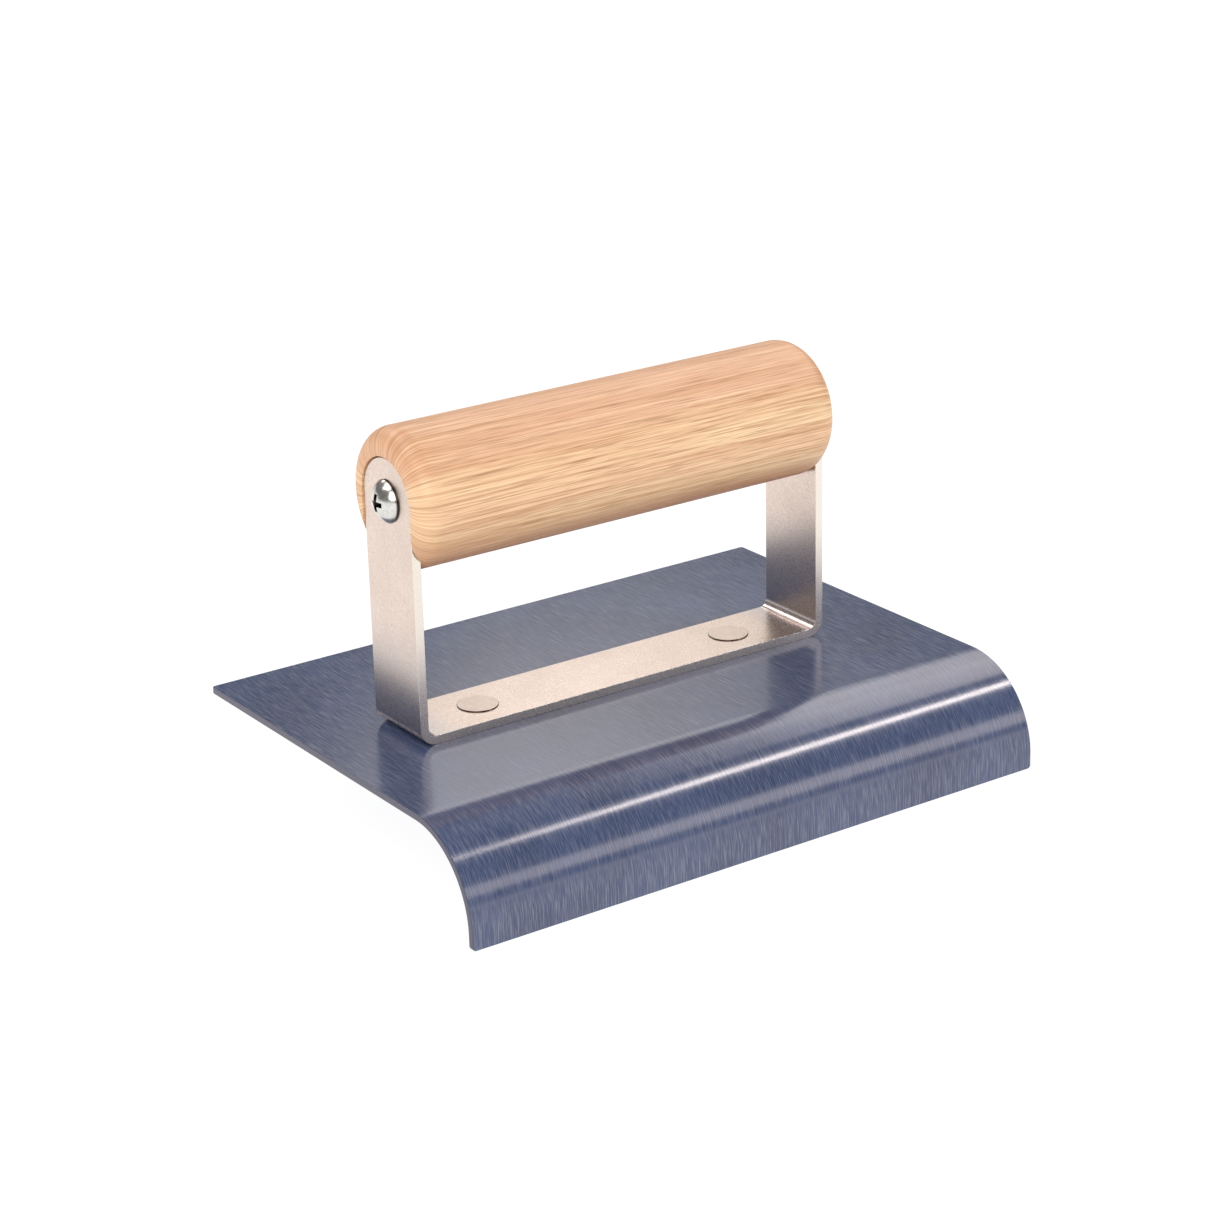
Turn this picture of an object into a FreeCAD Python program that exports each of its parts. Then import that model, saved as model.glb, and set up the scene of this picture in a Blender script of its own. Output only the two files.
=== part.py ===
import FreeCAD, Part
import os

# A hand edger for concrete: a steel blade with its front edge rolled down into a lip, a steel
# strap bent into a U and riveted on top of it, and a turned wooden grip screwed between the
# strap's two legs.  Millimetres, +Z up.  X runs along the grip, the lip is towards -Y.  The
# origin is on the blade's flat sole, at the middle of its length, straight below the grip.

# Blade: one plate of spring steel.
BLADE_LENGTH = 152.4            # along X
BLADE_THICKNESS = 1.6
BACK_REACH = 51.25              # from below the grip to the back edge
FRONT_REACH = 37.7              # from below the grip to where the lip starts to bend
LIP_RADIUS = 19.05              # on the sole side: the radius that the tool leaves in concrete
LIP_TAIL = 3.175                # straight part below the bend
BLADE_CORNER_RADIUS = 0.8       # seen from above, and at the lip's two ends
BLADE_EDGE_BREAK = 0.15         # chamfer all round both faces of the plate

# Handle bracket: one flat strap bent into a U.
STRAP_WIDTH = 19.05
STRAP_THICKNESS = 2.0
STRAP_BEND_RADIUS = 2.0         # inside the two bends
STRAP_SPAN = 111.1              # over the outer faces of the legs
STRAP_OFFSET = -1.6             # the strap sits this far along X from the blade's middle
STRAP_EDGE_BREAK = 0.2
GRIP_HEIGHT = 54.25             # from the blade's top face to the grip's axis

# Grip: turned wood, let over the tops of the legs.
GRIP_DIAMETER = 31.75
GRIP_END_RADIUS = 4.76          # the rounded rim of each end
GRIP_END_PROUD = 0.4            # how far each end stands past the leg's outer face
MORTISE_CLEARANCE = 0.35        # round the sides and the top of a leg

# Rivets: thin flat heads on the strap, tails flush with the sole.
RIVET_SPACING = 69.85
RIVET_SHANK_DIAMETER = 4.76
RIVET_HEAD_DIAMETER = 9.4
RIVET_HEAD_HEIGHT = 0.3
RIVET_TAIL_DIAMETER = 6.6       # on the sole
RIVET_TAIL_DEPTH = 0.9

# Handle screws: pan head, cross recess, driven into the wood's end grain.
SCREW_HEAD_DIAMETER = 9.7
SCREW_HEAD_HEIGHT = 3.1
SCREW_HEAD_WALL = 0.4           # upright rim below the dome
SCREW_SHANK_DIAMETER = 4.2
SCREW_SHANK_LENGTH = 25.0       # under the head, point included
SCREW_POINT_LENGTH = 5.0
SCREW_HOLE_CLEARANCE = 0.15     # round the shank, in the leg
RECESS_SPAN = 5.0               # across the cross, at the top of the head
RECESS_SLOT_WIDTH = 1.15
RECESS_DEPTH = 2.3
RECESS_FLOOR_SPAN = 1.6

# Worked out from the sizes above.
BLADE_TOP = BLADE_THICKNESS
LIP_OUTER_RADIUS = LIP_RADIUS + BLADE_THICKNESS
LIP_BOTTOM = -LIP_RADIUS - LIP_TAIL
LIP_FRONT = -FRONT_REACH - LIP_OUTER_RADIUS
STRAP_TOP = BLADE_TOP + STRAP_THICKNESS
GRIP_AXIS = BLADE_TOP + GRIP_HEIGHT
LEG_OUTER = STRAP_SPAN / 2
LEG_INNER = LEG_OUTER - STRAP_THICKNESS
RIVET_PLACES = {
    "left_rivet": STRAP_OFFSET - RIVET_SPACING / 2,
    "right_rivet": STRAP_OFFSET + RIVET_SPACING / 2,
}
SCREW_SIDES = {"left_handle_screw": -1, "right_handle_screw": 1}

CUT_MARGIN = 1.0                # how far a cutting body runs past what it cuts
SLANT = 0.5 ** 0.5              # sine of 45 degrees: where the middle of a quarter bend lies
X_AXIS = FreeCAD.Vector(1, 0, 0)
Y_AXIS = FreeCAD.Vector(0, 1, 0)
Z_AXIS = FreeCAD.Vector(0, 0, 1)


def point(x, y, z):
    return FreeCAD.Vector(x, y, z)


def line(start, end):
    return Part.LineSegment(start, end).toShape()


def arc(start, middle, end):
    return Part.Arc(start, middle, end).toShape()


def extruded(edges, direction):
    """Closed solid: the flat outline made by the edges, pushed along direction."""
    outline = Part.Face(Part.Wire(edges))
    return outline.extrude(direction)


def along_strap(shape):
    """The shape, moved from the bracket's own middle to its place on the blade."""
    moved = shape.copy()
    moved.translate(X_AXIS * STRAP_OFFSET)
    return moved


def blade_section():
    """The plate's outline across X: the flat, the quarter bend and the lip's tail."""
    x = -BLADE_LENGTH / 2
    bend_y = -FRONT_REACH
    bend_z = -LIP_RADIUS
    inner_front = LIP_FRONT + BLADE_THICKNESS
    top_back = point(x, BACK_REACH, BLADE_TOP)
    top_front = point(x, bend_y, BLADE_TOP)
    outer_middle = point(x, bend_y - LIP_OUTER_RADIUS * SLANT, bend_z + LIP_OUTER_RADIUS * SLANT)
    outer_low = point(x, LIP_FRONT, bend_z)
    tail_outer = point(x, LIP_FRONT, LIP_BOTTOM)
    tail_inner = point(x, inner_front, LIP_BOTTOM)
    inner_low = point(x, inner_front, bend_z)
    inner_middle = point(x, bend_y - LIP_RADIUS * SLANT, bend_z + LIP_RADIUS * SLANT)
    sole_front = point(x, bend_y, 0)
    sole_back = point(x, BACK_REACH, 0)
    return [
        line(top_back, top_front),
        arc(top_front, outer_middle, outer_low),
        line(outer_low, tail_outer),
        line(tail_outer, tail_inner),
        line(tail_inner, inner_low),
        arc(inner_low, inner_middle, sole_front),
        line(sole_front, sole_back),
        line(sole_back, top_back),
    ]


def short_corner_edges(plate):
    """The four edges through the plate's thickness: two at the back, two on the lip."""
    corners = []
    for edge in plate.Edges:
        middle = edge.CenterOfMass
        at_end = abs(abs(middle.x) - BLADE_LENGTH / 2) < Part.Precision.approximation()
        at_back = abs(middle.y - BACK_REACH) < Part.Precision.approximation()
        at_bottom = abs(middle.z - LIP_BOTTOM) < Part.Precision.approximation()
        if at_end and (at_back or at_bottom):
            corners.append(edge)
    return corners


def make_blade():
    plate = extruded(blade_section(), X_AXIS * BLADE_LENGTH)
    plate = plate.makeFillet(BLADE_CORNER_RADIUS, short_corner_edges(plate))
    plate = plate.makeChamfer(BLADE_EDGE_BREAK, rim_edges(plate))
    for x in RIVET_PLACES.values():
        plate = plate.cut(rivet_shaft(x))
    return plate


def rim_edges(plate):
    """The edges where the plate's two broad sides meet its rim."""
    return [edge for edge in plate.Edges if not crosses_thickness(edge) and not is_bend_line(edge)]


def crosses_thickness(edge):
    """True for a straight edge as long as the plate is thick, at one of the plate's ends."""
    straight = isinstance(edge.Curve, Part.Line)
    return straight and abs(edge.Length - BLADE_THICKNESS) < Part.Precision.approximation()


def is_bend_line(edge):
    """True for the lines along X where flat and bend, or bend and tail, run into each other."""
    middle = edge.CenterOfMass
    on_bend_start = abs(middle.y + FRONT_REACH) < Part.Precision.approximation()
    on_bend_end = abs(middle.z + LIP_RADIUS) < Part.Precision.approximation()
    along_x = abs(middle.x) < Part.Precision.approximation()
    return along_x and (on_bend_start or on_bend_end)


def strap_section():
    """The strap's outline across Y: a U with its corners bent to the bend radius."""
    y = -STRAP_WIDTH / 2
    outer_radius = STRAP_BEND_RADIUS + STRAP_THICKNESS
    bend_x = LEG_OUTER - outer_radius
    bend_z = BLADE_TOP + outer_radius
    leg_top = GRIP_AXIS + STRAP_WIDTH / 2
    edges = []
    edges.append(line(point(-bend_x, y, BLADE_TOP), point(bend_x, y, BLADE_TOP)))
    edges.append(line(point(-bend_x, y, STRAP_TOP), point(bend_x, y, STRAP_TOP)))
    for side in (-1, 1):
        for radius, leg_x in ((outer_radius, LEG_OUTER), (STRAP_BEND_RADIUS, LEG_INNER)):
            low = point(side * bend_x, y, bend_z - radius)
            middle = point(side * (bend_x + radius * SLANT), y, bend_z - radius * SLANT)
            high = point(side * leg_x, y, bend_z)
            edges.append(arc(low, middle, high))
            edges.append(line(high, point(side * leg_x, y, leg_top)))
        edges.append(line(point(side * LEG_OUTER, y, leg_top), point(side * LEG_INNER, y, leg_top)))
    return Part.__sortEdges__(edges)


def leg_outline(clearance, bottom, start_x, length):
    """A leg's upright outline with its round top, grown by clearance, as a bar along X."""
    half = STRAP_WIDTH / 2 + clearance
    edges = [
        line(point(start_x, -half, bottom), point(start_x, half, bottom)),
        line(point(start_x, half, bottom), point(start_x, half, GRIP_AXIS)),
        arc(
            point(start_x, half, GRIP_AXIS),
            point(start_x, 0, GRIP_AXIS + half),
            point(start_x, -half, GRIP_AXIS),
        ),
        line(point(start_x, -half, GRIP_AXIS), point(start_x, -half, bottom)),
    ]
    return extruded(edges, X_AXIS * length)


def make_handle_bracket():
    strap = extruded(strap_section(), Y_AXIS * STRAP_WIDTH)
    bottom = BLADE_TOP - CUT_MARGIN
    strap = strap.common(leg_outline(0, bottom, -STRAP_SPAN, 2 * STRAP_SPAN))
    strap = strap.removeSplitter()
    strap = strap.makeFillet(STRAP_EDGE_BREAK, long_strap_edges(strap))
    hole_radius = SCREW_SHANK_DIAMETER / 2 + SCREW_HOLE_CLEARANCE
    for side in SCREW_SIDES.values():
        start = point(side * (LEG_INNER - CUT_MARGIN), 0, GRIP_AXIS)
        depth = STRAP_THICKNESS + 2 * CUT_MARGIN
        strap = strap.cut(Part.makeCylinder(hole_radius, depth, start, X_AXIS * side))
    strap = along_strap(strap)
    for x in RIVET_PLACES.values():
        strap = strap.cut(rivet_shaft(x))
    return strap


def long_strap_edges(strap):
    """The strap's two long rims on each broad side, round tops included."""
    limit = STRAP_WIDTH / 2 - Part.Precision.approximation()
    rims = []
    for edge in strap.Edges:
        on_flank = abs(edge.CenterOfMass.y) > limit
        on_round_top = isinstance(edge.Curve, Part.Circle) and edge.CenterOfMass.z > GRIP_AXIS
        if (on_flank or on_round_top) and not crosses_strap(edge):
            rims.append(edge)
    return rims


def crosses_strap(edge):
    """True for a short straight edge through the strap's thickness."""
    straight = isinstance(edge.Curve, Part.Line)
    return straight and abs(edge.Length - STRAP_THICKNESS) < Part.Precision.approximation()


def screw_shaft(side):
    """The screw under its head: a plain shank and its point."""
    radius = SCREW_SHANK_DIAMETER / 2
    straight = SCREW_SHANK_LENGTH - SCREW_POINT_LENGTH
    inward = X_AXIS * -side
    shank = Part.makeCylinder(radius, straight, point(side * LEG_OUTER, 0, GRIP_AXIS), inward)
    point_start = point(side * (LEG_OUTER - straight), 0, GRIP_AXIS)
    tip = Part.makeCone(radius, 0, SCREW_POINT_LENGTH, point_start, inward)
    return shank.fuse(tip).removeSplitter()


def make_handle_grip():
    length = STRAP_SPAN + 2 * GRIP_END_PROUD
    start = point(-length / 2, 0, GRIP_AXIS)
    grip = Part.makeCylinder(GRIP_DIAMETER / 2, length, start, X_AXIS)
    rims = [edge for edge in grip.Edges if isinstance(edge.Curve, Part.Circle)]
    grip = grip.makeFillet(GRIP_END_RADIUS, rims)
    bottom = GRIP_AXIS - GRIP_DIAMETER / 2 - CUT_MARGIN
    depth = STRAP_THICKNESS + GRIP_END_PROUD + CUT_MARGIN
    for side in SCREW_SIDES.values():
        start_x = LEG_INNER if side > 0 else -LEG_INNER - depth
        grip = grip.cut(leg_outline(MORTISE_CLEARANCE, bottom, start_x, depth))
        grip = grip.cut(screw_shaft(side))
    return along_strap(grip)


def rivet_shaft(x):
    """A rivet without its head: the shank through strap and blade, and its flared tail."""
    radius = RIVET_SHANK_DIAMETER / 2
    shank = Part.makeCylinder(radius, STRAP_TOP, point(x, 0, 0), Z_AXIS)
    flare = Part.makeCone(RIVET_TAIL_DIAMETER / 2, radius, RIVET_TAIL_DEPTH, point(x, 0, 0), Z_AXIS)
    return shank.fuse(flare).removeSplitter()


def make_rivet(x):
    head_radius = RIVET_HEAD_DIAMETER / 2
    head = Part.makeCylinder(head_radius, RIVET_HEAD_HEIGHT, point(x, 0, STRAP_TOP), Z_AXIS)
    upper = [edge for edge in head.Edges if edge.BoundBox.ZMin > STRAP_TOP]
    head = head.makeFillet(RIVET_HEAD_HEIGHT / 2, upper)
    return head.fuse(rivet_shaft(x)).removeSplitter()


def screw_head():
    """A pan head on its axis: seat at z = 0, upright rim, then one shallow dome."""
    radius = SCREW_HEAD_DIAMETER / 2
    dome = SCREW_HEAD_HEIGHT - SCREW_HEAD_WALL
    dome_radius = (radius ** 2 + dome ** 2) / (2 * dome)
    centre = point(0, 0, SCREW_HEAD_HEIGHT - dome_radius)
    ball = Part.makeSphere(dome_radius, centre)
    return Part.makeCylinder(radius, SCREW_HEAD_HEIGHT).common(ball)


def cross_recess():
    """Two crossed slots that narrow towards their floor, sunk from the top of the head."""
    floor = SCREW_HEAD_HEIGHT - RECESS_DEPTH
    height = RECESS_DEPTH + CUT_MARGIN
    growth = (RECESS_SPAN - RECESS_FLOOR_SPAN) / 2 / RECESS_DEPTH
    top_radius = RECESS_FLOOR_SPAN / 2 + growth * height
    funnel = Part.makeCone(RECESS_FLOOR_SPAN / 2, top_radius, height, point(0, 0, floor))
    slots = []
    for turned in (False, True):
        length = RECESS_SLOT_WIDTH if turned else 2 * top_radius
        width = 2 * top_radius if turned else RECESS_SLOT_WIDTH
        slots.append(Part.makeBox(length, width, height, point(-length / 2, -width / 2, floor)))
    return slots[0].fuse(slots[1]).common(funnel)


def make_handle_screw(side):
    head = screw_head().cut(cross_recess())
    head.rotate(point(0, 0, 0), Y_AXIS, side * 90)
    head.translate(point(side * LEG_OUTER, 0, GRIP_AXIS))
    screw = head.fuse(screw_shaft(side)).removeSplitter()
    return along_strap(screw)


def save(name, shape):
    solid = shape.Solids[0]
    solid.exportStep("parts/" + name + ".step")
    print(name, len(shape.Solids), "solid", round(solid.Volume, 1), "mm3", solid.isValid())


def main():
    os.makedirs("parts", exist_ok=True)
    save("blade", make_blade())
    save("handle_bracket", make_handle_bracket())
    save("handle_grip", make_handle_grip())
    for name, x in RIVET_PLACES.items():
        save(name, make_rivet(x))
    for name, side in SCREW_SIDES.items():
        save(name, make_handle_screw(side))


main()
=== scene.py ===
import math

import bmesh
import bpy
from mathutils import Matrix, Vector


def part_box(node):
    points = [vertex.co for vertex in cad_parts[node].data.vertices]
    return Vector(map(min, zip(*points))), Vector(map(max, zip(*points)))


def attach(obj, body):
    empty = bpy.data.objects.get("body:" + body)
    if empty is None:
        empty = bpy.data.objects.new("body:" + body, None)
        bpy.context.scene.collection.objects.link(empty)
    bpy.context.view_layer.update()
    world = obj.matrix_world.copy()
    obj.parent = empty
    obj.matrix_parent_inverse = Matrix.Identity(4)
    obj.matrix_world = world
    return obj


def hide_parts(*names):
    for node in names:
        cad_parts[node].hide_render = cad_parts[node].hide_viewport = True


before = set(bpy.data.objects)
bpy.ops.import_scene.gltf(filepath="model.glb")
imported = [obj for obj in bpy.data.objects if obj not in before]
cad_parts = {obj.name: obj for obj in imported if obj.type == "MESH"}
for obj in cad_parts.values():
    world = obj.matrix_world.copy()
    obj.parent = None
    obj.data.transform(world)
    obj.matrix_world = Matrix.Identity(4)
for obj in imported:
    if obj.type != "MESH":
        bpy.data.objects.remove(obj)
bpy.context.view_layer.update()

# A hand edger for concrete: a blued steel blade with its front edge rolled down into a lip, a
# plated steel strap bent into a U and riveted to it, and a turned beech grip between the
# strap's legs.  Metres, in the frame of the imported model: X along the grip, lip towards -Y.

MM = 0.001

# How finely the rounds are faceted.
GRIP_SIDES = 128
SMALL_ROUND_SIDES = 48            # the rivets and the screws
LIP_STEPS = 32
STRAP_BEND_STEPS = 12
LEG_TOP_STEPS = 32                # each corner of a leg's top, and of the mortise round it
GRIP_END_STEPS = 14
DOME_STEPS = 16                   # rings of a screw's head

# How the meshes are worked.
SAME_PLACE = 0.01 * MM            # coordinates this close count as one
WELD = 0.001 * MM                 # points this close become one
SLIVER = 0.003 * MM               # the same, for what cuts leave behind
HOLE_SIDES = 8                    # the largest hole that is closed afterwards
OVERRUN = 1.0 * MM                # how far a cutter runs past the face it opens
HALF_ROUND = 0.9999               # corner to half width: nearly 1, so that two corners don't meet
RIM_ANGLE = 60                    # degrees: sharper edges than this get a broken rim
SMOOTH_ANGLE = 30                 # degrees: gentler edges than this are shaded smooth

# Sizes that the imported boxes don't give.
LIP_RADIUS = 19.05 * MM           # on the sole side
BLADE_CORNER = 0.8 * MM
BLADE_RIM = 0.15 * MM             # broken edge all round the plate
STRAP_THICKNESS = 2.0 * MM
STRAP_BEND = 2.0 * MM             # inside radius
STRAP_RIM = 0.2 * MM
GRIP_END_RADIUS = 4.76 * MM
GRIP_END_INSET = 2.0 * MM         # a ring of faces that keeps the flat end evenly lit
MORTISE_CLEARANCE = 0.35 * MM
RIVET_SHANK = 4.76 * MM
RIVET_HEAD_HEIGHT = 0.3 * MM
RIVET_TAIL = 6.6 * MM
RIVET_TAIL_DEPTH = 0.9 * MM
SCREW_SHANK = 4.2 * MM
SCREW_CLEARANCE = 0.15 * MM       # round the shank, in the leg
SCREW_POINT = 5.0 * MM
SCREW_TIP = 0.04 * MM             # radius of the point's blunt end
SCREW_HEAD_WALL = 0.4 * MM        # upright rim under the head's dome
SCREW_RIM = 0.06 * MM
SCREW_RIM_ANGLE = 50
RECESS_SPAN = 5.0 * MM
RECESS_FLOOR_SPAN = 1.6 * MM
RECESS_SLOT = 1.15 * MM
RECESS_DEPTH = 2.3 * MM
RECESS_OPEN = 0.1 * MM            # how far the recess's cutter stands out of the dome
RECESS_SLOT_TAPER = 0.8           # width of a slot at its floor, to its width at the top
JOINT_GAP = 0.03 * MM             # the fine line left round a pin in its hole

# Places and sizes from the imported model.
blade_low, blade_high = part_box("blade")
strap_low, strap_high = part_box("handle_bracket")
grip_low, grip_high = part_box("handle_grip")
BLADE_TOP = blade_high.z
LIP_OUTER = LIP_RADIUS + BLADE_TOP
BEND_Y = blade_low.y + LIP_OUTER
BEND_Z = BLADE_TOP - LIP_OUTER
STRAP_TOP = strap_low.z + STRAP_THICKNESS
STRAP_MIDDLE = (strap_low.x + strap_high.x) / 2
STRAP_HALF_WIDTH = (strap_high.y - strap_low.y) / 2
GRIP_RADIUS = (grip_high.y - grip_low.y) / 2
GRIP_AXIS = grip_high.z - GRIP_RADIUS
RIVETS = ("left_rivet", "right_rivet")
SCREWS = {-1: "left_handle_screw", 1: "right_handle_screw"}


def leg_face(side):
    """X of the outer face of the bracket's leg on that side: -1 is left, 1 is right."""
    return STRAP_MIDDLE + side * (strap_high.x - strap_low.x) / 2


def screw_head(side):
    """Radius and height of a screw's head, the radius of its dome, and its shank's length."""
    low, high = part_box(SCREWS[side])
    radius = (high.y - low.y) / 2
    height = abs((high.x if side > 0 else low.x) - leg_face(side))
    dome = height - SCREW_HEAD_WALL
    return radius, height, (radius ** 2 + dome ** 2) / (2 * dome), high.x - low.x - height


# ---------------------------------------------------------------- modelling helpers

def select_only(piece):
    bpy.ops.object.select_all(action="DESELECT")
    piece.select_set(True)
    bpy.context.view_layer.objects.active = piece


def start(name, add, **settings):
    """Adds one primitive with nothing else selected, names it and opens it for editing."""
    bpy.ops.object.select_all(action="DESELECT")
    add(**settings)
    piece = bpy.context.object
    piece.name = name
    piece.data.name = name
    bpy.ops.object.mode_set(mode="EDIT")
    return piece


def pick(kind, test):
    """Selects the verts, edges or faces of the open mesh whose middle passes the test."""
    bpy.ops.mesh.select_mode(type=kind)
    bpy.ops.mesh.select_all(action="DESELECT")
    mesh = bmesh.from_edit_mesh(bpy.context.object.data)
    for item in {"VERT": mesh.verts, "EDGE": mesh.edges, "FACE": mesh.faces}[kind]:
        corners = [item.co] if kind == "VERT" else [vert.co for vert in item.verts]
        if test(sum(corners, Vector()) / len(corners), item):
            item.select_set(True)
    mesh.select_flush_mode()
    bmesh.update_edit_mesh(bpy.context.object.data)


def near(value, target):
    return abs(value - target) < SAME_PLACE


def close(piece):
    """Leaves edit mode with the piece's place in its mesh, its normals out, and smooth."""
    bpy.ops.mesh.select_all(action="SELECT")
    bpy.ops.mesh.remove_doubles(threshold=WELD)
    bpy.ops.mesh.normals_make_consistent(inside=False)
    bpy.ops.object.mode_set(mode="OBJECT")
    bpy.ops.object.transform_apply(location=True, rotation=True, scale=True)
    bpy.ops.object.shade_smooth_by_angle(angle=math.radians(SMOOTH_ANGLE))
    return piece


def finish_with(piece, kind, **settings):
    """Adds one modifier to the piece and applies it."""
    select_only(piece)
    modifier = piece.modifiers.new(kind.lower(), kind)
    for key, value in settings.items():
        setattr(modifier, key, value)
    bpy.ops.object.modifier_apply(modifier=modifier.name)
    return piece


def cut(piece, cutter):
    """Takes the cutter's shape out of the piece, and removes the cutter."""
    finish_with(piece, "BOOLEAN", operation="DIFFERENCE", solver="EXACT", object=cutter)
    bpy.data.objects.remove(cutter)
    return piece


def mend(piece):
    """Welds the slivers that cuts leave, and closes a face that a cut has left open."""
    select_only(piece)
    bpy.ops.object.mode_set(mode="EDIT")
    bpy.ops.mesh.select_all(action="SELECT")
    bpy.ops.mesh.remove_doubles(threshold=SLIVER)
    bpy.ops.mesh.fill_holes(sides=HOLE_SIDES)
    bpy.ops.mesh.normals_make_consistent(inside=False)
    bpy.ops.object.mode_set(mode="OBJECT")
    return piece


def resmooth(piece, smooth_angle=SMOOTH_ANGLE):
    """Smooth shading that stays truly flat on the flats: broad faces outweigh their rims."""
    select_only(piece)
    bpy.ops.object.shade_smooth_by_angle(angle=math.radians(smooth_angle))
    return finish_with(piece, "WEIGHTED_NORMAL", mode="FACE_AREA", weight=100, keep_sharp=True)


def extrude(move):
    bpy.ops.mesh.extrude_region_move(TRANSFORM_OT_translate={"value": move})


def widen(share):
    """Scales the selected ring or cap in X and Y."""
    bpy.ops.transform.resize(value=(share, share, 1))


def turn_edge(steps, centre, axis):
    """Sweeps the selected edge a quarter turn, right-handed; spin itself counts left-handed."""
    bpy.ops.mesh.spin(steps=steps, angle=-math.pi / 2, center=centre, axis=axis)


def pin_cutter(x, radius, low, high, flare_radius, flare_depth):
    """An upright pin with a flared lower end, for rivet holes and rivets alike."""
    piece = start(
        "pin", bpy.ops.mesh.primitive_circle_add, vertices=SMALL_ROUND_SIDES,
        radius=flare_radius, fill_type="NGON", location=(x, 0, low),
    )
    bpy.ops.mesh.select_all(action="SELECT")
    extrude((0, 0, flare_depth))
    widen(radius / flare_radius)
    extrude((0, 0, high - low - flare_depth))
    return close(piece)


def lay_on_leg(piece, side):
    """Turns an upright piece, seated at z = 0, onto the outer face of the leg on that side."""
    piece.data.transform(Matrix.Rotation(math.radians(90 * side), 4, "Y"))
    piece.data.transform(Matrix.Translation((leg_face(side), 0, GRIP_AXIS)))
    return piece


def screw_bore(side, clearance):
    """The shape of one screw's shank and point, grown by the clearance, as a cutter."""
    shank_length = screw_head(side)[3]
    radius = SCREW_SHANK / 2 + clearance
    bore = pin_cutter(0, radius, -shank_length - clearance, OVERRUN, SCREW_TIP, SCREW_POINT)
    return lay_on_leg(bore, side)


# ---------------------------------------------------------------- the pieces

def make_blade():
    """A flat sheet, its front edge spun down through a quarter turn, given the plate's gauge."""
    length = blade_high.x - blade_low.x
    depth = blade_high.y - BEND_Y
    piece = start(
        "blade_plate", bpy.ops.mesh.primitive_plane_add, size=1,
        location=(0, BEND_Y + depth / 2, BLADE_TOP),
    )
    bpy.ops.transform.resize(value=(length, depth, 1))
    world = piece.matrix_world
    pick("EDGE", lambda middle, edge: near((world @ middle).y, BEND_Y))
    turn_edge(LIP_STEPS, (0, BEND_Y, BEND_Z), (1, 0, 0))
    pick("EDGE", lambda middle, edge: near((world @ middle).y, blade_low.y)
         and near((world @ middle).z, BEND_Z))
    extrude((0, 0, blade_low.z - BEND_Z))
    pick("VERT", lambda middle, vert: near((world @ middle).y, blade_high.y)
         or near((world @ middle).z, blade_low.z))
    bpy.ops.mesh.bevel(affect="VERTICES", offset=BLADE_CORNER, segments=5)
    close(piece)
    finish_with(piece, "SOLIDIFY", thickness=BLADE_TOP, offset=-1, use_even_offset=True)
    finish_with(piece, "BEVEL", width=BLADE_RIM, segments=2, limit_method="ANGLE",
                angle_limit=math.radians(RIM_ANGLE))
    for name in RIVETS:
        low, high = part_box(name)
        cut(piece, pin_cutter(
            (low.x + high.x) / 2, RIVET_SHANK / 2 + JOINT_GAP, -JOINT_GAP, BLADE_TOP + OVERRUN,
            RIVET_TAIL / 2 + JOINT_GAP, RIVET_TAIL_DEPTH + JOINT_GAP,
        ))
    return resmooth(piece)


def make_bracket():
    """A strip of sheet turned up at both ends, its tops rounded, given the strap's gauge."""
    outer = STRAP_BEND + STRAP_THICKNESS
    bend_x = (strap_high.x - strap_low.x) / 2 - outer
    piece = start(
        "bracket_strap", bpy.ops.mesh.primitive_plane_add, size=1,
        location=(STRAP_MIDDLE, 0, strap_low.z),
    )
    bpy.ops.transform.resize(value=(2 * bend_x, 2 * STRAP_HALF_WIDTH, 1))
    world = piece.matrix_world
    for side in (-1, 1):
        end = STRAP_MIDDLE + side * bend_x
        pick("EDGE", lambda middle, edge: near((world @ middle).x, end))
        turn_edge(STRAP_BEND_STEPS, (end, 0, strap_low.z + outer), (0, -side, 0))
        leg_x = end + side * outer
        pick("EDGE", lambda middle, edge: near((world @ middle).x, leg_x)
             and near((world @ middle).z, strap_low.z + outer))
        extrude((0, 0, strap_high.z - strap_low.z - outer))
    pick("VERT", lambda middle, vert: near((world @ middle).z, strap_high.z))
    bpy.ops.mesh.bevel(affect="VERTICES", offset=STRAP_HALF_WIDTH * HALF_ROUND,
                       segments=LEG_TOP_STEPS)
    close(piece)
    finish_with(piece, "SOLIDIFY", thickness=STRAP_THICKNESS, offset=-1, use_even_offset=True)
    finish_with(piece, "BEVEL", width=STRAP_RIM, segments=3, limit_method="ANGLE",
                angle_limit=math.radians(RIM_ANGLE))
    for name in RIVETS:
        low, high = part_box(name)
        cut(piece, pin_cutter(
            (low.x + high.x) / 2, RIVET_SHANK / 2 + JOINT_GAP, strap_low.z - OVERRUN,
            STRAP_TOP + OVERRUN, RIVET_SHANK / 2 + JOINT_GAP, OVERRUN,
        ))
    for side in SCREWS:
        cut(piece, screw_bore(side, SCREW_CLEARANCE))
    return resmooth(mend(piece))


def leg_cutter(side):
    """A bar with a rounded top, a leg's outline grown by its clearance, through a grip end."""
    half = STRAP_HALF_WIDTH + MORTISE_CLEARANCE
    inner = leg_face(side) - side * STRAP_THICKNESS
    depth = grip_high.x - STRAP_MIDDLE
    bottom = GRIP_AXIS - GRIP_RADIUS - OVERRUN
    height = GRIP_AXIS + half - bottom
    piece = start(
        "mortise", bpy.ops.mesh.primitive_plane_add, size=1, rotation=(0, math.radians(90), 0),
        location=(inner, 0, bottom + height / 2),
    )
    bpy.ops.transform.resize(value=(1, 2 * half, height))
    world = piece.matrix_world
    pick("VERT", lambda middle, vert: near((world @ middle).z, bottom + height))
    bpy.ops.mesh.bevel(affect="VERTICES", offset=half * HALF_ROUND, segments=LEG_TOP_STEPS)
    bpy.ops.mesh.select_all(action="SELECT")
    extrude((side * depth, 0, 0))
    return close(piece)


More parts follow.
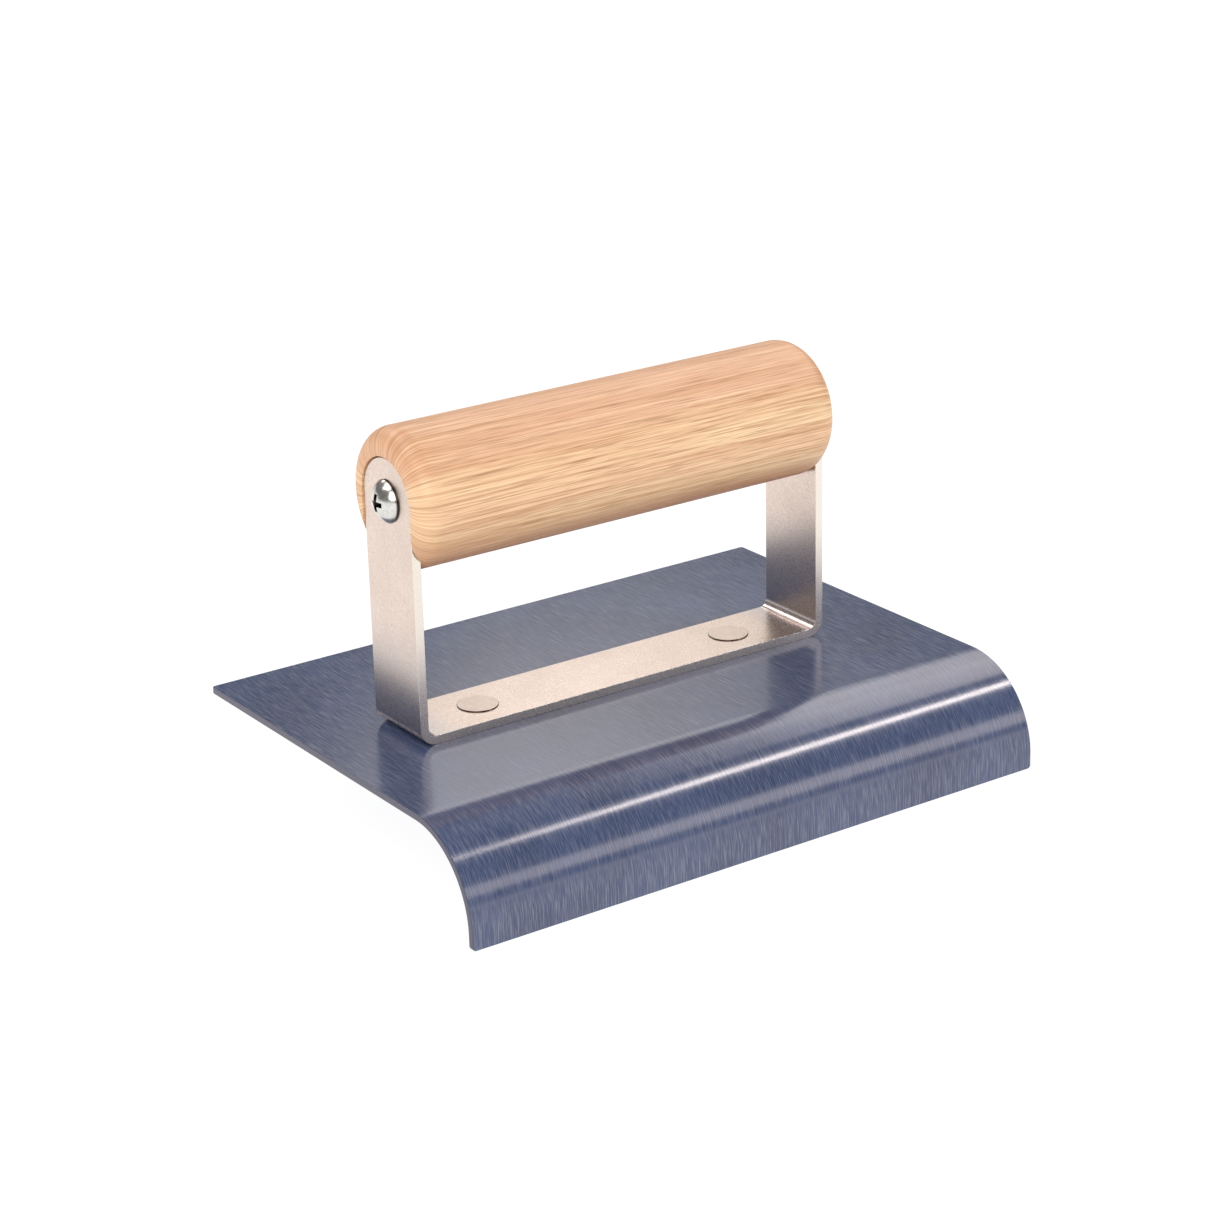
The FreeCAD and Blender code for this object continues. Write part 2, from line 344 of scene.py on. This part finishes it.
def make_grip():
    """A turned cylinder with rounded rims and a mortise cut into each end."""
    length = grip_high.x - grip_low.x
    piece = start(
        "grip_wood", bpy.ops.mesh.primitive_cylinder_add, vertices=GRIP_SIDES,
        radius=GRIP_RADIUS, depth=length, rotation=(0, math.radians(90), 0),
        location=((grip_low.x + grip_high.x) / 2, 0, GRIP_AXIS),
    )
    world = piece.matrix_world
    ends = (grip_low.x, grip_high.x)
    pick("EDGE", lambda middle, edge: any(near((world @ middle).x, end) for end in ends))
    bpy.ops.mesh.bevel(offset=GRIP_END_RADIUS, segments=GRIP_END_STEPS, profile=0.5)
    pick("FACE", lambda middle, face: any(near((world @ middle).x, end) for end in ends))
    bpy.ops.mesh.inset(thickness=GRIP_END_INSET)
    close(piece)
    for side in SCREWS:
        cut(piece, leg_cutter(side))
        cut(piece, screw_bore(side, JOINT_GAP))
    return resmooth(mend(piece), smooth_angle=32)


def make_rivet(name):
    """A thin head with a soft rim, on a shank whose tail is flared flush with the sole."""
    low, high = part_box(name)
    x = (low.x + high.x) / 2
    head_radius = (high.x - low.x) / 2
    shank = RIVET_SHANK / 2
    piece = start(
        name + "_body", bpy.ops.mesh.primitive_circle_add, vertices=SMALL_ROUND_SIDES,
        radius=RIVET_TAIL / 2, fill_type="NGON", location=(x, 0, 0),
    )
    bpy.ops.mesh.select_all(action="SELECT")
    extrude((0, 0, RIVET_TAIL_DEPTH))
    widen(shank / (RIVET_TAIL / 2))
    extrude((0, 0, STRAP_TOP - RIVET_TAIL_DEPTH))
    extrude((0, 0, 0))
    widen(head_radius / shank)
    extrude((0, 0, RIVET_HEAD_HEIGHT))
    world = piece.matrix_world
    pick("EDGE", lambda middle, edge: near((world @ middle).z, high.z))
    bpy.ops.mesh.bevel(offset=RIVET_HEAD_HEIGHT / 2, segments=4, profile=0.5)
    return resmooth(close(piece))


def recess_cutter():
    """Two crossed wedges, wide at the top of the head and narrow at the recess's floor."""
    wedges = []
    share = RECESS_FLOOR_SPAN / RECESS_SPAN
    for turned in (0, 1):
        wedge = start("recess", bpy.ops.mesh.primitive_cube_add, size=1, location=(0, 0, 0))
        span = (RECESS_SPAN, RECESS_SLOT) if not turned else (RECESS_SLOT, RECESS_SPAN)
        bpy.ops.transform.resize(value=(span[0], span[1], RECESS_DEPTH))
        pick("FACE", lambda middle, face: face.normal.z < -0.5)
        taper = (share, RECESS_SLOT_TAPER) if not turned else (RECESS_SLOT_TAPER, share)
        bpy.ops.transform.resize(value=(taper[0], taper[1], 1))
        wedges.append(close(wedge))
    finish_with(wedges[0], "BOOLEAN", operation="UNION", solver="EXACT", object=wedges[1])
    bpy.data.objects.remove(wedges[1])
    return wedges[0]


def make_screw(side):
    """A pan head with a cross recess, on a shank with a point, turned to its leg's outside."""
    radius, height, dome_radius, shank_length = screw_head(side)
    piece = start(
        SCREWS[side] + "_body", bpy.ops.mesh.primitive_circle_add, vertices=SMALL_ROUND_SIDES,
        radius=SCREW_TIP, fill_type="NGON", location=(0, 0, -shank_length),
    )
    bpy.ops.mesh.select_all(action="SELECT")
    extrude((0, 0, SCREW_POINT))
    widen(SCREW_SHANK / 2 / SCREW_TIP)
    extrude((0, 0, shank_length - SCREW_POINT))
    extrude((0, 0, 0))
    widen(radius / (SCREW_SHANK / 2))
    extrude((0, 0, SCREW_HEAD_WALL))
    reach = math.asin(radius / dome_radius)
    ring, level = radius, 0
    for step in range(1, DOME_STEPS):
        angle = reach * (1 - step / DOME_STEPS)
        next_ring = dome_radius * math.sin(angle)
        next_level = dome_radius * (math.cos(angle) - math.cos(reach))
        extrude((0, 0, next_level - level))
        widen(next_ring / ring)
        ring, level = next_ring, next_level
    close(piece)
    cutter = recess_cutter()
    cutter.location = (0, 0, height - RECESS_DEPTH / 2 + RECESS_OPEN)
    cut(piece, cutter)
    finish_with(piece, "BEVEL", width=SCREW_RIM, segments=2, limit_method="ANGLE",
                angle_limit=math.radians(SCREW_RIM_ANGLE))
    return resmooth(lay_on_leg(piece, side), smooth_angle=35)


# ---------------------------------------------------------------- materials

def linear(code):
    """An sRGB colour written as hex, as the linear RGBA that nodes take."""
    parts = [int(code[i:i + 2], 16) / 255 for i in (1, 3, 5)]
    return tuple(p / 12.92 if p <= 0.04045 else ((p + 0.055) / 1.055) ** 2.4 for p in parts) + (1,)


def fill(tree, made, values):
    """Sets a node's inputs: plain numbers stay on the sockets, patterns are linked to them."""
    for key, value in values.items():
        if isinstance(value, bpy.types.NodeSocket):
            tree.links.new(value, made.inputs[key])
        else:
            made.inputs[key].default_value = value


def node(tree, kind, inputs=None, **settings):
    """Adds a node, sets its properties and fills its inputs."""
    made = tree.nodes.new(kind)
    for key, value in settings.items():
        setattr(made, key, value)
    fill(tree, made, inputs or {})
    return made


def new_material(name):
    """A material with nothing in it but a shader and an output."""
    material = bpy.data.materials.new(name)
    material.use_nodes = True
    tree = material.node_tree
    tree.nodes.clear()
    shader = node(tree, "ShaderNodeBsdfPrincipled")
    output = node(tree, "ShaderNodeOutputMaterial", {"Surface": shader.outputs["BSDF"]})
    output.is_active_output = True
    return material, tree, shader


def object_place(tree):
    return node(tree, "ShaderNodeTexCoord").outputs["Object"]


def split(tree, vector):
    return node(tree, "ShaderNodeSeparateXYZ", {"Vector": vector}).outputs


def join(tree, **axes):
    return node(tree, "ShaderNodeCombineXYZ", axes).outputs["Vector"]


def vectors(tree, operation, inputs, result="Vector"):
    return node(tree, "ShaderNodeVectorMath", inputs, operation=operation).outputs[result]


def maths(tree, operation, first, second=0.0):
    made = node(tree, "ShaderNodeMath", {0: first, 1: second}, operation=operation)
    return made.outputs["Value"]


def away(tree, value, centre):
    """How far a coordinate is from the centre, on either side."""
    return maths(tree, "ABSOLUTE", maths(tree, "SUBTRACT", value, centre))


def per_metre(cell):
    return tuple(1 / size for size in cell)


def noise(tree, place, cell, detail=2.0, rough=0.5):
    """Noise whose features measure cell = (x, y, z) metres, or one size for all three axes."""
    sizes = cell if isinstance(cell, tuple) else (cell, cell, cell)
    spread = node(tree, "ShaderNodeMapping", {"Vector": place, "Scale": per_metre(sizes)})
    made = node(tree, "ShaderNodeTexNoise", {
        "Vector": spread.outputs["Vector"], "Scale": 1.0, "Detail": detail, "Roughness": rough,
    })
    return made.outputs["Fac"]


def stretch(tree, value, low, high, to_low=0.0, to_high=1.0):
    """Carries the range low to high over to another range, and clamps what lies outside."""
    made = node(tree, "ShaderNodeMapRange", {
        "Value": value, "From Min": low, "From Max": high, "To Min": to_low, "To Max": to_high,
    })
    return made.outputs["Result"]


def blend(tree, share, first, second):
    made = node(tree, "ShaderNodeMix", {0: share, 6: first, 7: second}, data_type="RGBA")
    return made.outputs[2]


def bumped(tree, height, strength, distance):
    made = node(tree, "ShaderNodeBump", {
        "Height": height, "Strength": strength, "Distance": distance,
    })
    return made.outputs["Normal"]


def blued_spring_steel():
    """Spring steel, heat-blued and belt-brushed from back to front, under clear lacquer: dark
    slate blue, with fine pale scratches that run down over the lip, denser towards its end.
    Reflections spread across the brushing, and the cut ends of the sheet are plain."""
    material, tree, shader = new_material("blued_spring_steel_brushed")
    place = object_place(tree)
    axes = split(tree, place)
    unrolled = join(tree, X=axes["X"], Y=maths(tree, "ADD", axes["Y"], axes["Z"]))
    scratch = noise(tree, unrolled, (0.19 * MM, 12 * MM, MM), 3.0, 0.6)
    hair = noise(tree, unrolled, (0.30 * MM, 5 * MM, MM), 2.0, 0.6)
    cloud = noise(tree, place, 18 * MM)
    half_scratch = maths(tree, "MULTIPLY", scratch, 0.5)
    half_hair = maths(tree, "MULTIPLY", hair, 0.5)
    marks = maths(tree, "ADD", half_scratch, half_hair)
    worn = stretch(tree, axes["Z"], 0.65 * BEND_Z, 0.85 * BEND_Z, 0.34, 0.58)
    pale = maths(tree, "MULTIPLY", stretch(tree, marks, 0.46, 0.66), worn)
    oxide = blend(tree, stretch(tree, cloud, 0.35, 0.65), linear("#384769"), linear("#415175"))
    brushed = blend(tree, pale, oxide, linear("#a0a4b4"))
    sheared = stretch(tree, away(tree, axes["X"], 0.0), blade_high.x - 0.20 * MM,
                      blade_high.x - 0.05 * MM)
    fill(tree, shader, {
        "Base Color": blend(tree, sheared, brushed, linear("#41445a")),
        "Roughness": stretch(tree, marks, 0.35, 0.65, 0.14, 0.24),
        "Normal": bumped(tree, marks, 0.24, 0.05 * MM),
        "IOR": 1.68,
        "Specular Tint": linear("#f8eeee"),
        "Anisotropic": 0.35,
        "Tangent": join(tree, X=1.0),
    })
    return material


def zinc_plated_strap():
    """Mild steel strap, barrel zinc-plated and left dull: pale warm grey with a fine mottle,
    a few darker flecks, painted shade low on the cut edges and a painted highlight higher up on
    them, painted shade low on the legs by the bends, and soft broad highlights."""
    material, tree, shader = new_material("zinc_plated_steel_dull")
    place = object_place(tree)
    mottle = noise(tree, place, 0.7 * MM, 4.0, 0.7)
    patch = noise(tree, place, 9 * MM)
    fleck = noise(tree, place, 0.45 * MM, 2.0, 0.6)
    fine = stretch(tree, mottle, 0.3, 0.7)
    pale = blend(tree, fine, linear("#dccabf"), linear("#eddcd1"))
    clouded = blend(tree, stretch(tree, patch, 0.35, 0.7, 0, 0.5), pale, linear("#d8c6bb"))
    face = blend(tree, stretch(tree, fleck, 0.62, 0.74, 0, 0.6), clouded, linear("#9c8f87"))
    axes = split(tree, place)
    flank = stretch(tree, away(tree, axes["Y"], 0.0), STRAP_HALF_WIDTH - 0.25 * MM,
                    STRAP_HALF_WIDTH - 0.1 * MM)
    # Painted light on the cut edges: painted shade low down towards the blade, and a painted
    # highlight higher up.
    edge_shade_to_highlight = stretch(tree, axes["Z"], 4 * MM, 26 * MM)
    edge_painted_shade_and_highlight = blend(tree, edge_shade_to_highlight, linear("#bab5b4"), linear("#efe6dc"))
    plated = blend(tree, flank, face, edge_painted_shade_and_highlight)
    # Painted shade: the lower legs and the bends are greyed, near the strap's ends and low down.
    reach = leg_face(1) - STRAP_MIDDLE
    outward = stretch(tree, away(tree, axes["X"], STRAP_MIDDLE), reach - 12 * MM, reach - 5 * MM)
    low_down = stretch(tree, axes["Z"], 30 * MM, 10 * MM)
    painted_shade_at_bends = maths(tree, "MULTIPLY", maths(tree, "MULTIPLY", outward, low_down), 0.8)
    fill(tree, shader, {
        "Base Color": blend(tree, painted_shade_at_bends, plated, linear("#cdc5c3")),
        "Roughness": stretch(tree, mottle, 0.3, 0.7, 0.32, 0.25),
        "Normal": bumped(tree, mottle, stretch(tree, flank, 0, 1, 0.05, 0.02), 0.05 * MM),
        "Metallic": 1.0,
    })
    return material


def rivet_steel():
    """Cold-headed steel rivet, zinc-plated like the strap but hammered flat: a little greyer,
    with a painted contact shadow, a dark line where the head meets the strap."""
    material, tree, shader = new_material("zinc_plated_rivet")
    place = object_place(tree)
    mottle = noise(tree, place, 1.1 * MM, 4.0, 0.6)
    plate = blend(tree, stretch(tree, mottle, 0.3, 0.7), linear("#d0bfb4"), linear("#dfcfc4"))
    # Painted contact shadow: a dark brown band round the foot of the head.
    contact_shadow = stretch(tree, split(tree, place)["Z"], STRAP_TOP + 0.20 * MM, STRAP_TOP + 0.29 * MM)
    fill(tree, shader, {
        "Base Color": blend(tree, contact_shadow, linear("#4a3a30"), plate),
        "Roughness": stretch(tree, mottle, 0.3, 0.7, 0.36, 0.28),
        "Normal": bumped(tree, mottle, 0.1, 0.04 * MM),
        "Metallic": 1.0,
    })
    return material


def bright_plated_screw():
    """Steel screw, bright nickel-zinc plate: nearly a mirror, with faint tumbling marks, a painted
    contact shadow as a dark line where the head meets the leg, and painted shade inside the cross
    recess."""
    material, tree, shader = new_material("bright_plated_screw_steel")
    place = object_place(tree)
    marks = noise(tree, place, 0.8 * MM, 3.0, 0.6)
    plate = blend(tree, stretch(tree, marks, 0.3, 0.7), linear("#d0d0ca"), linear("#e6e6e0"))
    axes = split(tree, place)
    out = away(tree, axes["X"], STRAP_MIDDLE)
    seat = leg_face(1) - STRAP_MIDDLE
    # Painted contact shadow: dark where the head sits on the leg.
    contact_shadow = stretch(tree, out, seat + 0.30 * MM, seat + 0.65 * MM)
    plated_with_contact_shadow = blend(tree, contact_shadow, linear("#3b3733"), plate)
    # Painted shade inside the cross recess: dark below the dome's surface, above the contact
    # shadow.
    height, dome_radius = screw_head(-1)[1:3]
    mirrored = join(tree, X=out, Y=axes["Y"], Z=maths(tree, "SUBTRACT", axes["Z"], GRIP_AXIS))
    dome_centre = (seat + height - dome_radius, 0, 0)
    from_centre = vectors(tree, "DISTANCE", {0: mirrored, 1: dome_centre}, "Value")
    below_dome = stretch(tree, from_centre, dome_radius - 0.12 * MM, dome_radius - 0.45 * MM)
    above_foot = stretch(tree, out, seat + 0.65 * MM, seat + 0.75 * MM)
    recess_shade = maths(tree, "MULTIPLY", below_dome, above_foot)
    fill(tree, shader, {
        "Base Color": blend(tree, recess_shade, plated_with_contact_shadow, linear("#3a3835")),
        "Roughness": stretch(tree, marks, 0.3, 0.7, 0.18, 0.26),
        "Metallic": 1.0,
    })
    return material


def turned_beech():
    """Beech, turned and sanded along the grain, under thin satin varnish: peach-tan with fine
    streaks along the grip that turn over the rounded rims and run in towards the middle,
    with painted shade on the crown and on the underside."""
    material, tree, shader = new_material("turned_beech_satin")
    centred = node(tree, "ShaderNodeMapping", {
        "Vector": object_place(tree), "Location": (0, 0, -GRIP_AXIS),
    })
    axes = split(tree, centred.outputs["Vector"])
    section = join(tree, Y=axes["Y"], Z=axes["Z"])
    outward = vectors(tree, "NORMALIZE", {0: section})
    rim = vectors(tree, "SCALE", {0: outward, "Scale": GRIP_RADIUS})
    grain = vectors(tree, "ADD", {0: rim, 1: join(tree, X=axes["X"])})
    slow = node(tree, "ShaderNodeMapping", {
        "Vector": grain, "Scale": per_metre((90 * MM, 16 * MM, 16 * MM)),
    })
    sway = node(tree, "ShaderNodeTexNoise", {
        "Vector": slow.outputs["Vector"], "Scale": 1.0, "Detail": 1.0,
    })
    shift = vectors(tree, "MULTIPLY", {0: sway.outputs["Color"], 1: (0.0, 0.9 * MM, 0.9 * MM)})
    swayed = vectors(tree, "ADD", {0: grain, 1: shift})
    broad = noise(tree, swayed, (90 * MM, 5.5 * MM, 5.5 * MM))
    streak = noise(tree, swayed, (70 * MM, 0.80 * MM, 0.80 * MM), 4.0, 0.72)
    fine = noise(tree, swayed, (26 * MM, 0.34 * MM, 0.34 * MM), 3.0, 0.65)
    pore = noise(tree, swayed, (12 * MM, 0.30 * MM, 0.30 * MM), 2.0, 0.6)
    height = split(tree, swayed)["Z"]
    colour = blend(tree, stretch(tree, broad, 0.35, 0.65), linear("#f8cca2"), linear("#fddcb0"))
    for share, tint in (
        (stretch(tree, height, 6 * MM, 11 * MM), "#eab994"),             # painted shade on the crown
        (stretch(tree, height, -6 * MM, -12 * MM, 0, 0.9), "#c29072"),   # painted shade on the underside
        (stretch(tree, streak, 0.48, 0.64, 0, 0.62), "#d7a274"),         # summer wood
        (stretch(tree, streak, 0.47, 0.32, 0, 0.8), "#fddcae"),          # spring wood
        (stretch(tree, fine, 0.48, 0.66, 0, 0.8), "#c8926a"),            # fine lines
        (stretch(tree, pore, 0.55, 0.68, 0, 0.6), "#a87650"),            # short pores
    ):
        colour = blend(tree, share, colour, linear(tint))
    fill(tree, shader, {
        "Base Color": colour,
        "Roughness": stretch(tree, fine, 0.3, 0.7, 0.42, 0.52),
        "Normal": bumped(tree, fine, 0.1, 0.05 * MM),
        "IOR": 1.5,
        "Coat Weight": 0.15,
        "Coat Roughness": 0.3,
    })
    return material


def pale_floor():
    """Matt white studio sheet, lit from within so that no shadow shows."""
    material, tree, shader = new_material("white_studio_sheet")
    fill(tree, shader, {
        "Base Color": linear("#6a6a6a"),
        "Roughness": 0.9,
        "Emission Color": (1, 1, 1, 1),
        "Emission Strength": 0.93,
    })
    return material


# ---------------------------------------------------------------- the object

def place_piece(piece, stands_for, material):
    piece.data.materials.clear()
    piece.data.materials.append(material)
    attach(piece, "root")
    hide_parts(stands_for)


place_piece(make_blade(), "blade", blued_spring_steel())
place_piece(make_bracket(), "handle_bracket", zinc_plated_strap())
place_piece(make_grip(), "handle_grip", turned_beech())
rivet_finish = rivet_steel()
for rivet_name in RIVETS:
    place_piece(make_rivet(rivet_name), rivet_name, rivet_finish)
screw_finish = bright_plated_screw()
for screw_side, screw_name in SCREWS.items():
    place_piece(make_screw(screw_side), screw_name, screw_finish)


# ---------------------------------------------------------------- the studio

FLOOR_SIZE = 80.0                 # metres: its far edge stays out of low views
CAMERA_AIM = Vector((0.0042, 0.0075, 0.0150))
CAMERA_AZIMUTH = math.radians(-34.357)
CAMERA_ELEVATION = math.radians(20.645)
CAMERA_ROLL = math.radians(-1.51)
CAMERA_DISTANCE = 0.72
CAMERA_LENS = 92.65
SENSOR_WIDTH = 36
AIR_COLOUR = (0.96, 0.97, 1.0, 1)
AIR_STRENGTH = 0.18
KEY_TINT = (1.0, 0.97, 0.93)
FILL_TINT = (1.0, 0.92, 0.88)

# The large panel behind the tool that the blade's flat reflects: its middle, the direction it
# slopes in, and its parts, each from one place to another along the slope.
SKY_MIDDLE = Vector((1.218, 0.852, 1.338))
SKY_SLOPE = Vector((0.289, -0.905, 0.314))
SKY_PARTS = (
    # name, start, end, height, radiance
    ("sky_panel_low", -1.06, -0.72, 0.56, 1.85),
    ("sky_panel_second", -0.72, -0.36, 0.60, 2.2),
    ("sky_panel_third", -0.36, 0.10, 0.58, 3.0),
    ("sky_panel_high", 0.10, 1.04, 0.58, 3.8),
)
SOFTBOXES = (
    # name, place, width, height, radiance, direction of the width, tint
    ("sky_panel_foot", (1.215, 1.650, 0.812), 0.20, 0.08, 1.3, (0.755, -0.64, 0.141), KEY_TINT),
    ("lip_key", (1.02, -0.522, 1.29), 0.56, 0.10, 26.5, (1, 0.25, 0.1), KEY_TINT),
    ("lip_second", (1.00, -1.322, 0.550), 1.0, 0.34, 3.0, (1, 0, 0), KEY_TINT),
    ("lip_low", (1.00, -1.420, 0.085), 1.0, 0.16, 1.5, (1, 0, 0), KEY_TINT),
    ("front_fill", (-1.24, -1.24, 1.0), 1.6, 1.2, 3.5, (1, -1, 0), FILL_TINT),
    ("overhead_fill", (-0.85, 0.40, 1.55), 1.1, 1.1, 2.7, (1, 0, 0), FILL_TINT),
    ("back_fill", (-0.14, 1.35, 1.12), 0.46, 0.5, 5.0, (1, 0, 0), FILL_TINT),
    ("left_card", (-1.00, 1.75, 0.20), 2.0, 0.35, 0.6, (1, 0.6, 0), FILL_TINT),
)


def add_floor():
    bpy.ops.object.select_all(action="DESELECT")
    bpy.ops.mesh.primitive_plane_add(size=FLOOR_SIZE, location=(0, 0, blade_low.z))
    floor = bpy.context.object
    floor.name = "studio_floor"
    floor.data.materials.append(pale_floor())


def add_camera():
    back = Vector((
        math.sin(CAMERA_AZIMUTH) * math.cos(CAMERA_ELEVATION),
        -math.cos(CAMERA_AZIMUTH) * math.cos(CAMERA_ELEVATION),
        math.sin(CAMERA_ELEVATION),
    ))
    data = bpy.data.cameras.new("studio_camera")
    data.lens = CAMERA_LENS
    data.sensor_width = SENSOR_WIDTH
    camera = bpy.data.objects.new("studio_camera", data)
    bpy.context.scene.collection.objects.link(camera)
    turn = back.to_track_quat("Z", "Y").to_matrix().to_4x4()
    roll = Matrix.Rotation(CAMERA_ROLL, 4, "Z")
    camera.matrix_world = Matrix.Translation(CAMERA_AIM + back * CAMERA_DISTANCE) @ turn @ roll
    bpy.context.scene.camera = camera


def add_softbox(name, place, width, height, radiance, width_along, tint):
    """A rectangular area light at place, facing the tool, its width along the given direction."""
    data = bpy.data.lights.new(name, "AREA")
    data.shape = "RECTANGLE"
    data.size = width
    data.size_y = height
    data.energy = radiance * math.pi * width * height
    data.color = tint
    light = bpy.data.objects.new(name, data)
    bpy.context.scene.collection.objects.link(light)
    back = Vector(place).normalized()
    across = Vector(width_along)
    across = (across - back * across.dot(back)).normalized()
    turn = Matrix((across, back.cross(across), back)).transposed().to_4x4()
    light.matrix_world = Matrix.Translation(Vector(place)) @ turn


def add_lights():
    world = bpy.data.worlds.new("studio_air")
    bpy.context.scene.world = world
    world.use_nodes = True
    air = world.node_tree.nodes["Background"]
    air.inputs["Color"].default_value = AIR_COLOUR
    air.inputs["Strength"].default_value = AIR_STRENGTH
    for name, start_at, end_at, height, radiance in SKY_PARTS:
        centre = SKY_MIDDLE + SKY_SLOPE * (start_at + end_at) / 2
        add_softbox(name, centre, end_at - start_at, height, radiance, SKY_SLOPE, KEY_TINT)
    for settings in SOFTBOXES:
        add_softbox(*settings)


add_floor()
add_camera()
add_lights()
bpy.context.scene.view_settings.view_transform = "Standard"
